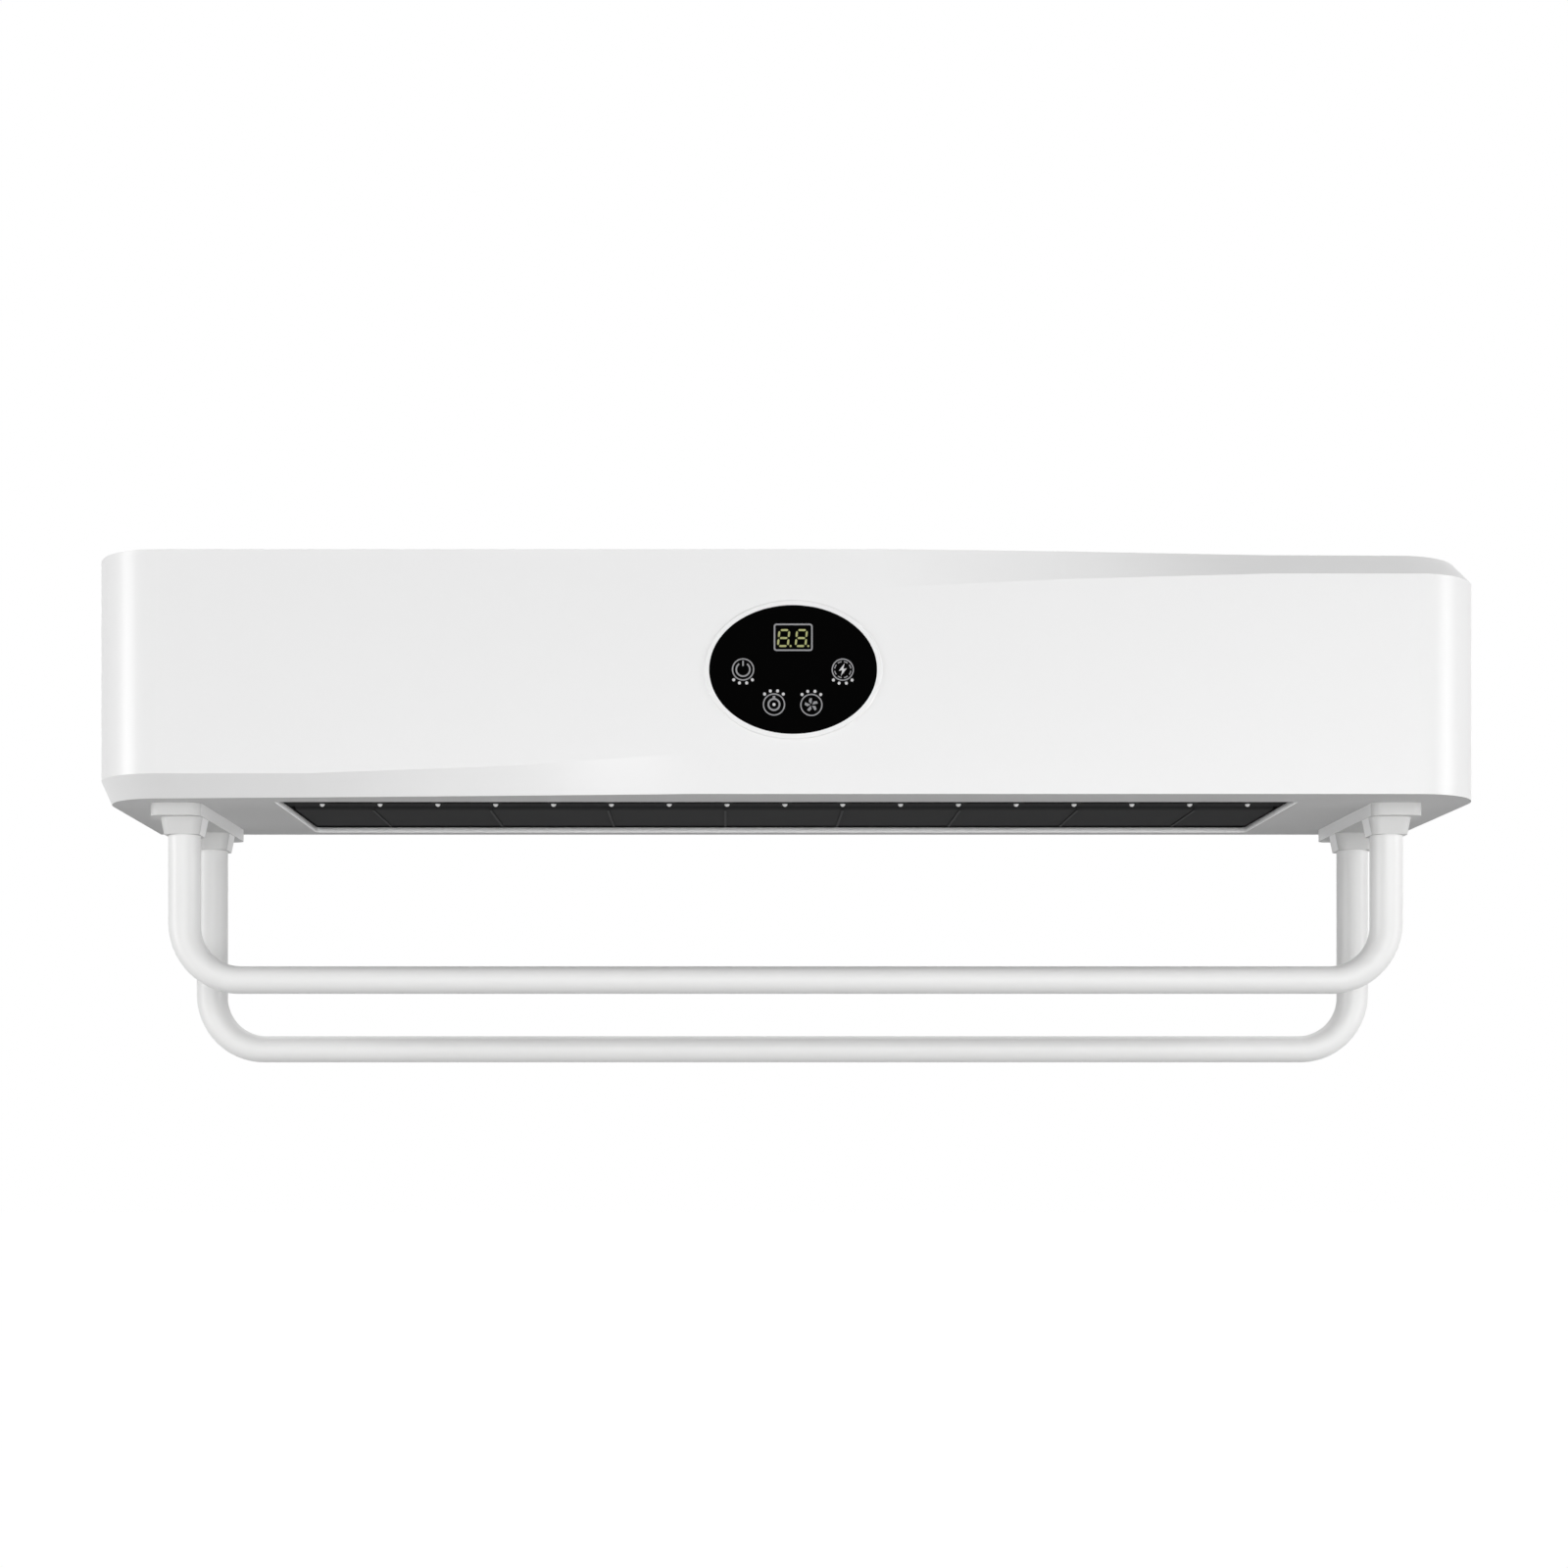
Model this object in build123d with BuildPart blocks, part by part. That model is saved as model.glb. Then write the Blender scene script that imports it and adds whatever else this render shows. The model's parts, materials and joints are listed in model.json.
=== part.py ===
from build123d import *
import os
from math import atan, degrees

os.makedirs("parts", exist_ok=True)

# The frame: +X right, +Z up, the room lies towards -Y and the wall face is y = 0.
# The origin is the centre of the four wall screws. All sizes are in millimetres.

# Housing
body_width = 655
body_height = 114
body_depth = 142
corner_radius = 33
wall = 2.5
wall_gap = 1.0
facet_start = 45
facet_middle = 130
facet_full = 225
top_facet_drops = (17.8, 13.9, 11.4)
top_facet_depths = (0, 4.2, 11, 12.4)
top_facet_side_inset = 4.5
top_facet_radius = 36
bottom_facet_drops = (19, 13, 9.6)
bottom_facet_depths = (0, 5.5, 10.5, 15)
bottom_facet_side_inset = 3
bottom_facet_radius = 28

# Fits
seat_gap = 0.3
bore_gap = 0.05
screw_gap = 0.3

# Underside panel
panel_inset = 20
panel_corner = 26
panel_lap = 2
panel_flange = 2

# Warm-air outlet in the underside
outlet_side = 83.5
outlet_front = 25
outlet_to_wall = 10.5
outlet_corner = 4
frame_lap = 3
frame_thick = 2.5
duct_wall = 1.5
duct_height = 22
slot_width = 24
slot_depth = 15
slot_corner = 3
slot_front = 31
pin_pitch = 28.2
pin_end = 18
pin_back = 49
pin_head_radius = 1.25
pin_shank_radius = 0.9

# Outlet flap
flap_front = 57
flap_to_wall = 19
flap_hinge_lift = 9
flap_thick = 2.5
flap_recess = 2
flap_nose_radius = 8
flap_edge_gap = 1.2
flap_tail = 2
flap_lug_radius = 3.5
flap_lug_width = 6
flap_pin_radius = 2
flap_pin_length = 5
flap_rib_pitch = 58
flap_rib_end = 30
flap_rib_width = 1.2
flap_rib_height = 0.5
flap_motor_size = (15, 16, 18)

# Fan and heater
fan_to_wall = 50
fan_height = 74
fan_radius = 24
fan_clearance = 4
fan_end = 12
blade_count = 24
blade_chord = 7
blade_thick = 1
blade_angle = 35
disc_thick = 2
disc_count = 5
hub_radius = 7
shaft_radius = 3
scroll_wall = 2
scroll_side = 22
scroll_top = 98
heater_side = 44
heater_depth = 46
heater_height = 16
heater_end = 12
fin_pitch = 6.6
fin_thick = 0.8
rail_thick = 4
ptc_thick = 2.2
tray_thick = 2
motor_radius = 22
motor_length = 45
bearing_radius = 8
bearing_length = 8

# Towel bars and their brackets
leg_side = 37
bar_front_back = 40
bar_rear_to_wall = 44
bar_front_drop = 83.9
bar_rear_drop = 115.2
leg_radius = 7.75
run_half_height = 6.65
bend_radius = 27
tube_wall = 1.4
bracket_width = 24.5
bracket_shift = 1.7
bracket_front = 26
bracket_to_wall = 15
bracket_thick = 6
bracket_corner = 5
collar_top = 20.3
collar_height = 8.3
collar_draft = 11
collar_corner = 5
socket_depth = 3
plug_length = 14
bar_screw_radius = 2
bar_screw_head = 3.6

# Control panel
dial_x = 2.5
dial_z = 0.8
glass_width = 78.2
glass_height = 60
glass_proud = 0.3
bezel_ring = 2.4
bezel_step = 1.3
bezel_proud = 0.9
bezel_round = 0.6
carrier_depth = 9
carrier_ring = 5
board_thick = 1.6
digit_width = 18.3
digit_height = 13
digit_x = 0.2
digit_z = 15

# Rear: wall bracket, back plate, screws
back_plate_y = 8
back_plate_thick = 1.5
back_plate_gap = 0.4
bracket_plate_half = 240
bracket_plate_height = 44
steel = 1.5
wall_screw_x = 400
wall_screw_z = 24
wall_screw_radius = 2.75
hook_x = 150
hook_width = 40
hook_rise = 8
hook_height = 20
hook_slot_height = 12
screw_side = 49.5
near_x = 98
block_width = 12
block_depth = 12
rear_screw_radius = 1.5
rear_screw_head = 3
rear_screw_length = 9
pad_radius = 9
pad_x = 200
pad_rise = 15
gland_side = 55.5
gland_z = 18
gland_bore = 3.6
gland_radius = 7
gland_flange = 10
gland_length = 12

# Intake grille in the top
grille_side = 24
grille_reach = 44
grille_rear_reach = 22
grille_lap = 4
grille_corner = 4
grille_slot_width = 4
grille_slot_pitch = 8
grille_slot_length = 26
grille_slot_end = 12

# Control board and the parts on it
board_side = 35
board_to_wall = 69
board_width = 50
board_length = 82
board_lift = 14
standoff_x = 20
standoff_y = 28
standoff_radius = 3.5
relay_size = (16, 19, 15)
capacitor_radius = 6
capacitor_height = 20
capacitor_round = 1
terminal_size = (24, 12, 14)
sink_size = (5, 32, 22)
lead_radius = 1.3
lead_pitch = 5
lead_bend = 6

front_y = -body_depth
top_z = body_height / 2
bottom_z = -body_height / 2
half_width = body_width / 2
outlet_half = half_width - outlet_side
leg_half = half_width - leg_side
heater_half = outlet_half - heater_side
scroll_half = outlet_half - scroll_side
fan_length = 2 * (scroll_half - fan_end)
grille_half = outlet_half - grille_side
gland_x = gland_side - half_width
board_x = -outlet_half - board_side
board_y = -board_to_wall
pin_count = 1 + int(2 * (outlet_half - pin_end) / pin_pitch)
fin_count = int(2 * heater_half / fin_pitch)
grille_slot_count = int(2 * (grille_half - grille_slot_end) / grille_slot_pitch)


def box_between(low, high):
    """Add a box to the open part, given its lowest and highest corners."""
    size = [b - a for a, b in zip(low, high)]
    middle = [(a + b) / 2 for a, b in zip(low, high)]
    with Locations(tuple(middle)):
        return Box(*size)


def cut_between(low, high):
    """Take a box out of the open part, given its lowest and highest corners."""
    size = [b - a for a, b in zip(low, high)]
    middle = [(a + b) / 2 for a, b in zip(low, high)]
    with Locations(tuple(middle)):
        return Box(*size, mode=Mode.SUBTRACT)


def outline(height, inset, rear, front_inset, side_inset, radius):
    """Plan outline of the right-hand end of the housing at one height, its front edge drawn in at both ends."""
    front = front_y + inset
    side = half_width - inset
    with BuildSketch(Plane.XY.offset(height)) as plan:
        with BuildLine():
            Polyline(
                (facet_full, rear),
                (facet_full, front + front_inset[0]),
                (side - side_inset, front + front_inset[1]),
                (side, rear),
                close=True,
            )
        make_face()
        corner = plan.vertices().filter_by_position(Axis.Y, front - 1, front + front_inset[1] + 1)
        fillet(corner.sort_by(Axis.X)[-1], radius)
    return plan.sketch.faces()[0]


def quad(points):
    """Flat four-sided face through four points."""
    return Face(Wire.make_polygon(points, close=True))


def housing_end(inset, rear, drops, depths, side_inset, facet_radius):
    """Right-hand end of the housing, with a facet on top that widens from facet_start to facet_full."""
    front = front_y + inset
    low = bottom_z + inset
    high = top_z - inset
    level = high - drops[-1]
    radius = corner_radius - inset
    stations = (facet_start, facet_middle, facet_full)
    with BuildPart() as end:
        with BuildSketch(Plane.XZ.offset(-rear)):
            with BuildLine():
                Polyline(
                    (facet_start, low),
                    (half_width - inset, low),
                    (half_width - inset, level),
                    *[(x, high - drop) for x, drop in zip(reversed(stations), reversed(drops))],
                    close=True,
                )
            make_face()
        extrude(amount=rear - front)
        with BuildSketch(Plane.XY.offset(low)):
            with Locations((half_width - inset, rear)):
                Rectangle(radius, rear - front, align=(Align.MAX, Align.MAX))
            with Locations((half_width - inset - radius, front + radius)):
                Rectangle(radius, radius, align=(Align.MIN, Align.MAX), mode=Mode.SUBTRACT)
                Circle(radius)
            with Locations((facet_start, rear)):
                Rectangle(half_width - inset - radius - facet_start, rear - front, align=(Align.MIN, Align.MAX))
        extrude(amount=high - low, mode=Mode.INTERSECT)
        for n in (0, 1):
            near, far = stations[n], stations[n + 1]
            near_z, far_z = high - drops[n], high - drops[n + 1]
            under = quad([(near, rear, near_z), (near, front, near_z), (far, front, far_z), (far, rear, far_z)])
            near_y, far_y = front + depths[n], front + depths[n + 1]
            over = quad([(near, rear, high), (near, near_y, high), (far, far_y, high), (far, rear, high)])
            loft([under, over], ruled=True)
        loft(
            [
                outline(level, inset, rear, (0, 0), 0, radius),
                outline(high, inset, rear, depths[2:], side_inset, facet_radius - inset),
            ],
            ruled=True,
        )
    return end.part


def housing_form(inset, rear):
    """Outer shape of the housing moved inwards by inset, as one solid that reaches back to rear."""
    right = housing_end(
        inset, rear, top_facet_drops, top_facet_depths, top_facet_side_inset, top_facet_radius
    )
    left = housing_end(
        inset, rear, bottom_facet_drops, bottom_facet_depths, bottom_facet_side_inset, bottom_facet_radius
    )
    with BuildPart() as form:
        add(right)
        add(left.rotate(Axis.Y, 180))
        box_between((-facet_start, front_y + inset, bottom_z + inset), (facet_start, rear, top_z - inset))
    return form.part


def save(piece, name):
    """Label one finished piece and write it to its own file."""
    piece.part.label = name
    export_step(piece.part, f"parts/{name}.step")


# Levels and lines that several pieces share
floor_z = bottom_z + wall
flange_z = floor_z + panel_flange
frame_z = floor_z + frame_thick
duct_z = frame_z + duct_height
tray_z = duct_z + tray_thick
fan_y = -fan_to_wall
fan_z = bottom_z + fan_height
scroll_top_z = bottom_z + scroll_top
channel_half = fan_radius + fan_clearance
flap_y = -flap_to_wall
flap_z = bottom_z + flap_hinge_lift
flap_low_z = bottom_z + flap_recess
flap_front_y = front_y + flap_front
outlet_front_y = front_y + outlet_front
outlet_rear_y = -outlet_to_wall
pocket_front_y = flap_front_y - flap_edge_gap
pocket_rear_y = outlet_rear_y - duct_wall
pocket_half = outlet_half - duct_wall
flap_half = pocket_half - flap_edge_gap
flap_rib_count = 1 + int(2 * (flap_half - flap_rib_end) / flap_rib_pitch)
back_y = -back_plate_y
inside_back_y = back_y - back_plate_thick
block_y = inside_back_y - back_plate_gap
panel_half = half_width - panel_inset
panel_front_y = front_y + panel_inset
grille_front_y = fan_y - grille_reach
grille_rear_y = fan_y + grille_rear_reach
grille_middle_y = (grille_front_y + grille_rear_y) / 2
far_x = half_width - screw_side
top_block_z = top_z - wall
top_screws = [(x, top_block_z - block_width / 2) for x in (-far_x, -near_x, near_x, far_x)]
low_screws = [(x, flange_z + block_width / 2) for x in (-far_x, far_x)]
bar_places = [(front_y + bar_front_back, bar_front_drop), (-bar_rear_to_wall, bar_rear_drop)]
leg_spots = [(sign * leg_half, y) for sign in (-1, 1) for y, drop in bar_places]
leg_top_z = bottom_z - bracket_thick + socket_depth
bracket_length = body_depth - bracket_front - bracket_to_wall
board_z = flange_z + board_lift
board_top_z = board_z + board_thick
standoffs = [(board_x + sx * standoff_x, board_y + sy * standoff_y) for sx in (-1, 1) for sy in (-1, 1)]


def rear_blocks(places):
    """Blocks with pilot holes that take the rear screws, standing just in front of the back plate."""
    with BuildPart() as blocks:
        with BuildSketch(Plane.XZ.offset(-block_y)):
            with Locations(*places):
                Rectangle(block_width, block_width)
                Circle(rear_screw_radius + bore_gap, mode=Mode.SUBTRACT)
        extrude(amount=block_depth)
    return blocks.part


def panel_outline(extra):
    """Outline of the underside panel, grown by extra, rounded at the front and straight along the wall."""
    reach = -wall_gap - panel_front_y
    with Locations((0, panel_front_y - extra)):
        RectangleRounded(2 * (panel_half + extra), reach, panel_corner + extra, align=(Align.CENTER, Align.MIN))
    with Locations((0, -wall_gap)):
        Rectangle(2 * (panel_half + extra), reach / 2, align=(Align.CENTER, Align.MAX))


def dial_ellipse(width, height):
    """Ellipse centred on the control panel."""
    with Locations((dial_x, dial_z)):
        Ellipse(width / 2, height / 2)


# Front cover: front, top, two sides and a lip under the edge of the underside
outer = housing_form(0, -wall_gap)
inner = housing_form(wall, 0)
top_blocks = rear_blocks(top_screws)
low_blocks = rear_blocks(low_screws)
with BuildPart() as front_cover:
    add(outer)
    add(inner, mode=Mode.SUBTRACT)
    with BuildSketch(Plane.XY.offset(bottom_z)):
        panel_outline(seat_gap)
        with Locations((0, -wall_gap)):
            Rectangle(2 * (panel_half + seat_gap), panel_corner, align=(Align.CENTER, Align.CENTER))
    extrude(amount=wall, mode=Mode.SUBTRACT)
    with BuildSketch(Plane.XY.offset(top_z)):
        with Locations((0, grille_middle_y)):
            RectangleRounded(2 * grille_half, grille_rear_y - grille_front_y, grille_corner)
    extrude(amount=-wall, mode=Mode.SUBTRACT)
    with BuildSketch(Plane.XZ.offset(body_depth)):
        dial_ellipse(glass_width + 2 * bezel_step, glass_height + 2 * bezel_step)
    extrude(amount=-wall, mode=Mode.SUBTRACT)
    add(top_blocks)
save(front_cover, "front_cover")

# Underside panel with the outlet opening, board posts and screw blocks
with BuildPart() as base_panel:
    with BuildSketch(Plane.XY.offset(bottom_z)):
        panel_outline(0)
    extrude(amount=wall)
    with BuildSketch(Plane.XY.offset(floor_z)):
        panel_outline(panel_lap)
    extrude(amount=panel_flange)
    with BuildSketch(Plane.XY.offset(bottom_z)):
        with Locations((0, outlet_front_y)):
            RectangleRounded(
                2 * outlet_half, outlet_rear_y - outlet_front_y, outlet_corner, align=(Align.CENTER, Align.MIN)
            )
    extrude(amount=wall, mode=Mode.SUBTRACT)
    cut_between(
        (-outlet_half - frame_lap - seat_gap, outlet_front_y - frame_lap - seat_gap, floor_z),
        (outlet_half + frame_lap + seat_gap, -wall_gap, flange_z),
    )
    with BuildSketch(Plane.XY.offset(flange_z)):
        with Locations(*standoffs):
            Circle(standoff_radius)
    extrude(amount=board_lift)
    add(low_blocks)
    with BuildSketch(Plane.XY.offset(flange_z)):
        with Locations(*leg_spots):
            Circle(bar_screw_radius + screw_gap)
    extrude(amount=-wall - panel_flange, mode=Mode.SUBTRACT)
save(base_panel, "base_panel")

# Intake grille let into the top
with BuildPart() as top_grille:
    with BuildSketch(Plane.XY.offset(top_z)):
        with Locations((0, grille_middle_y)):
            RectangleRounded(
                2 * (grille_half - seat_gap), grille_rear_y - grille_front_y - 2 * seat_gap, grille_corner - seat_gap
            )
    extrude(amount=-wall)
    with BuildSketch(Plane.XY.offset(top_z - wall)):
        with Locations((0, grille_middle_y)):
            RectangleRounded(
                2 * (grille_half + grille_lap), grille_rear_y - grille_front_y + 2 * grille_lap, grille_corner
            )
    extrude(amount=-steel)
    with BuildSketch(Plane.XY.offset(top_z)):
        with Locations((0, grille_middle_y)):
            with GridLocations(grille_slot_pitch, grille_slot_length + grille_lap, grille_slot_count, 2):
                SlotOverall(grille_slot_length, grille_slot_width, rotation=90)
    extrude(amount=-wall - steel, mode=Mode.SUBTRACT)
save(top_grille, "top_grille")

# Sheet-steel back plate with slots for the wall hooks, the cable hole and screw holes
with BuildPart() as back_plate:
    with BuildSketch(Plane.XZ.offset(back_plate_y)):
        with Locations((0, (flange_z + top_block_z) / 2)):
            RectangleRounded(
                2 * (half_width - wall - back_plate_gap), top_block_z - flange_z - 2 * back_plate_gap, block_width
            )
        with Locations((-hook_x, hook_height), (hook_x, hook_height)):
            Rectangle(
                hook_width + 2 * screw_gap, hook_slot_height, align=(Align.CENTER, Align.MAX), mode=Mode.SUBTRACT
            )
        with Locations(*top_screws, *low_screws):
            Circle(rear_screw_radius + screw_gap, mode=Mode.SUBTRACT)
        with Locations((gland_x, gland_z)):
            Circle(gland_radius + seat_gap, mode=Mode.SUBTRACT)
    extrude(amount=back_plate_thick)
save(back_plate, "back_plate")

with BuildPart() as rear_screws:
    with BuildSketch(Plane.XZ.offset(back_plate_y)):
        with Locations(*top_screws, *low_screws):
            Circle(rear_screw_radius)
    extrude(amount=rear_screw_length)
    with BuildSketch(Plane.XZ.offset(back_plate_y)):
        with Locations(*top_screws, *low_screws):
            Circle(rear_screw_head)
    extrude(amount=-steel)
save(rear_screws, "rear_screws")

# Bracket screwed to the wall: two hooks reach through the back plate and carry it
hook_out_y = block_y - steel
with BuildPart() as wall_bracket:
    with BuildSketch(Plane.XZ):
        RectangleRounded(2 * bracket_plate_half, bracket_plate_height, wall_screw_radius)
        with GridLocations(wall_screw_x, wall_screw_z, 2, 2):
            Circle(wall_screw_radius, mode=Mode.SUBTRACT)
    extrude(amount=steel)
    for x in (-hook_x, hook_x):
        box_between(
            (x - hook_width / 2, hook_out_y, hook_height - steel), (x + hook_width / 2, -steel, hook_height)
        )
        box_between(
            (x - hook_width / 2, hook_out_y, hook_height - steel), (x + hook_width / 2, block_y, hook_height + hook_rise)
        )
save(wall_bracket, "wall_bracket")

with BuildPart() as wall_pads:
    with BuildSketch(Plane.XZ):
        with Locations((-pad_x, bottom_z + pad_rise), (pad_x, bottom_z + pad_rise)):
            Circle(pad_radius)
    extrude(amount=back_plate_y)
save(wall_pads, "wall_pads")

with BuildPart() as cable_gland:
    with BuildSketch(Plane.XZ.offset(back_plate_y)):
        with Locations((gland_x, gland_z)):
            Circle(gland_radius)
    extrude(amount=gland_length)
    with BuildSketch(Plane.XZ.offset(back_plate_y)):
        with Locations((gland_x, gland_z)):
            Circle(gland_flange)
    extrude(amount=-steel)
    with BuildSketch(Plane.XZ.offset(back_plate_y - steel)):
        with Locations((gland_x, gland_z)):
            Circle(gland_bore)
    extrude(amount=gland_length + steel, mode=Mode.SUBTRACT)
save(cable_gland, "cable_gland")

# Outlet frame: black plate seen through the underside, with the air slot, flap pocket and duct walls
frame_front_y = outlet_front_y - frame_lap
frame_rear_y = outlet_rear_y
with BuildPart() as outlet_frame:
    box_between((-outlet_half - frame_lap, frame_front_y, floor_z), (outlet_half + frame_lap, frame_rear_y, frame_z))
    box_between((-outlet_half, pocket_front_y - duct_wall, frame_z), (outlet_half, outlet_rear_y, duct_z))
    cut_between((-pocket_half, pocket_front_y, floor_z), (pocket_half, pocket_rear_y, duct_z))
    with BuildSketch(Plane.XY.offset(floor_z)):
        with Locations((0, front_y + slot_front + slot_depth / 2)):
            with GridLocations(pin_pitch, 0, pin_count - 1, 1):
                RectangleRounded(slot_width, slot_depth, slot_corner)
        with Locations((0, front_y + pin_back)):
            with GridLocations(pin_pitch, 0, pin_count, 1):
                Circle(pin_shank_radius + bore_gap)
    extrude(amount=frame_thick, mode=Mode.SUBTRACT)
    with BuildSketch(Plane.YZ.offset(-outlet_half)):
        with Locations((flap_y, flap_z)):
            Circle(flap_pin_radius + bore_gap)
    extrude(amount=2 * outlet_half, mode=Mode.SUBTRACT)
save(outlet_frame, "outlet_frame")

# White round-headed pins in a row behind the air slot
with BuildPart() as guard_pins:
    with BuildSketch(Plane.XZ) as pin_section:
        with Locations((0, floor_z)):
            Circle(pin_head_radius)
            Rectangle(2 * pin_head_radius, pin_head_radius, align=(Align.CENTER, Align.MIN), mode=Mode.SUBTRACT)
            Rectangle(pin_head_radius, pin_head_radius, align=(Align.MAX, Align.MAX), mode=Mode.SUBTRACT)
            Rectangle(pin_shank_radius, frame_thick, align=(Align.MIN, Align.MIN))
    revolve(axis=Axis.Z)
one_pin = guard_pins.part
with BuildPart() as guard_pins:
    with GridLocations(pin_pitch, 0, pin_count, 1):
        with Locations((0, front_y + pin_back, 0)):
            add(one_pin)
save(guard_pins, "guard_pins")


def flap_profile(proud):
    """Section of the flap, its face lowered by proud: a flat underside that curls up at the front edge."""
    low = flap_low_z - proud
    front = flap_front_y - proud
    tail = flap_y - flap_tail
    high = flap_low_z + flap_thick
    centre = (flap_front_y + flap_nose_radius, flap_low_z + flap_nose_radius)
    with BuildSketch() as profile:
        with BuildLine():
            Line((tail, low), (centre[0], low))
            CenterArc(centre, flap_nose_radius + proud, 180, 90)
            Line((front, centre[1]), (flap_front_y + flap_thick, centre[1]))
            CenterArc(centre, flap_nose_radius - flap_thick, 180, 90)
            Polyline((centre[0], high), (tail, high), (tail, low))
        make_face()
    return profile.sketch


# Outlet flap, hinged on two pins along its rear edge
flap_section = flap_profile(0)
rib_section = flap_profile(flap_rib_height)
with BuildPart() as outlet_flap:
    with BuildSketch(Plane.YZ.offset(-flap_half)):
        add(flap_section)
    extrude(amount=2 * flap_half)
    for number in range(flap_rib_count):
        rib_x = (number - (flap_rib_count - 1) / 2) * flap_rib_pitch
        with BuildSketch(Plane.YZ.offset(rib_x - flap_rib_width / 2)):
            add(rib_section)
        extrude(amount=flap_rib_width)
    for side in (-1, 1):
        with BuildSketch(Plane.YZ.offset(side * flap_half)):
            with BuildLine():
                Polyline(
                    (flap_y - 3 * flap_lug_radius, flap_low_z),
                    (flap_y - flap_tail, flap_low_z),
                    (flap_y + flap_lug_radius, flap_z),
                    (flap_y - flap_lug_radius, flap_z),
                    close=True,
                )
            make_face()
            with Locations((flap_y, flap_z)):
                Circle(flap_lug_radius)
        extrude(amount=-side * flap_lug_width)
        with BuildSketch(Plane.YZ.offset(side * flap_half)):
            with Locations((flap_y, flap_z)):
                Circle(flap_pin_radius)
        extrude(amount=side * (flap_edge_gap + duct_wall + flap_pin_length))
save(outlet_flap, "outlet_flap")

# Geared motor that turns the flap
flap_motor_x = outlet_half + seat_gap
with BuildPart() as flap_motor:
    box_between(
        (-flap_motor_x - flap_motor_size[0], flap_y - flap_motor_size[1] / 2, frame_z),
        (-flap_motor_x, flap_y + flap_motor_size[1] / 2, frame_z + flap_motor_size[2]),
    )
    with BuildSketch(Plane.YZ.offset(-flap_motor_x)):
        with Locations((flap_y, flap_z)):
            Circle(flap_pin_radius + bore_gap)
    extrude(amount=-flap_pin_length - screw_gap, mode=Mode.SUBTRACT)
save(flap_motor, "flap_motor")

# Heater tray, aluminium fins, ceramic element and end blocks
with BuildPart() as heater_tray:
    box_between((-outlet_half, pocket_front_y - duct_wall, duct_z), (outlet_half, outlet_rear_y, tray_z))
    cut_between(
        (-heater_half + rail_thick, fan_y - heater_depth / 2 + rail_thick, duct_z),
        (heater_half - rail_thick, fan_y + heater_depth / 2 - rail_thick, tray_z),
    )
save(heater_tray, "heater_tray")

heater_top_z = tray_z + heater_height
with BuildPart() as heater_fins:
    for y in (-1, 0, 1):
        middle = fan_y + y * (heater_depth - rail_thick) / 2
        box_between((-heater_half, middle - rail_thick / 2, tray_z), (heater_half, middle + rail_thick / 2, heater_top_z))
    with GridLocations(2 * heater_half / (fin_count + 1), 0, fin_count, 1):
        with Locations((0, fan_y, tray_z)):
            Box(fin_thick, heater_depth - rail_thick, heater_height, align=(Align.CENTER, Align.CENTER, Align.MIN))
    cut_between(
        (-heater_half, fan_y - ptc_thick / 2 - bore_gap, tray_z + rail_thick / 2),
        (heater_half, fan_y + ptc_thick / 2 + bore_gap, heater_top_z - rail_thick / 2),
    )
save(heater_fins, "heater_fins")

with BuildPart() as ptc_element:
    box_between(
        (-heater_half, fan_y - ptc_thick / 2, tray_z + rail_thick / 2),
        (heater_half, fan_y + ptc_thick / 2, heater_top_z - rail_thick / 2),
    )
save(ptc_element, "ptc_element")

for side, name in ((-1, "heater_end_left"), (1, "heater_end_right")):
    near = side * heater_half
    far = side * (heater_half + heater_end)
    with BuildPart() as heater_end_block:
        box_between(
            (min(near, far), fan_y - heater_depth / 2, tray_z),
            (max(near, far), fan_y + heater_depth / 2, heater_top_z + rail_thick / 2),
        )
        chamfer(heater_end_block.edges().filter_by(Axis.Z), tray_thick)
    save(heater_end_block, name)

lead_z = tray_z + heater_height / 2
cutout_x = -(heater_half + heater_end + scroll_half) / 2
with BuildPart() as thermal_cutout:
    with Locations((cutout_x, fan_y, tray_z)):
        Cylinder(rail_thick, rail_thick, align=(Align.CENTER, Align.CENTER, Align.MIN))
        Cylinder(rail_thick / 2, heater_height / 2, align=(Align.CENTER, Align.CENTER, Align.MIN))
save(thermal_cutout, "thermal_cutout")

# Fan housing round the rotor, open at the top and over the heater
with BuildPart() as fan_housing:
    box_between(
        (-scroll_half - scroll_wall, fan_y - channel_half - scroll_wall, tray_z),
        (scroll_half + scroll_wall, fan_y + channel_half + scroll_wall, scroll_top_z),
    )
    cut_between((-scroll_half, fan_y - channel_half, tray_z), (scroll_half, fan_y + channel_half, scroll_top_z))
    with BuildSketch(Plane.YZ.offset(-scroll_half)):
        with BuildLine():
            Polyline(
                (fan_y - channel_half, fan_z - fan_radius),
                (fan_y - channel_half + 2 * fan_clearance, fan_z - channel_half + fan_clearance / 2),
                (fan_y - channel_half, fan_z - channel_half),
                close=True,
            )
        make_face()
    extrude(amount=2 * scroll_half)
    with BuildSketch(Plane.YZ.offset(-scroll_half - scroll_wall)):
        with Locations((fan_y, fan_z)):
            Circle(shaft_radius + 2 * screw_gap)
    extrude(amount=2 * (scroll_half + scroll_wall), mode=Mode.SUBTRACT)
    with BuildSketch(Plane.YZ.offset(-scroll_half - scroll_wall)):
        with Locations((fan_y - lead_pitch, lead_z), (fan_y + lead_pitch, lead_z)):
            Circle(lead_radius + screw_gap)
    extrude(amount=scroll_wall, mode=Mode.SUBTRACT)
save(fan_housing, "fan_housing")

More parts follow.
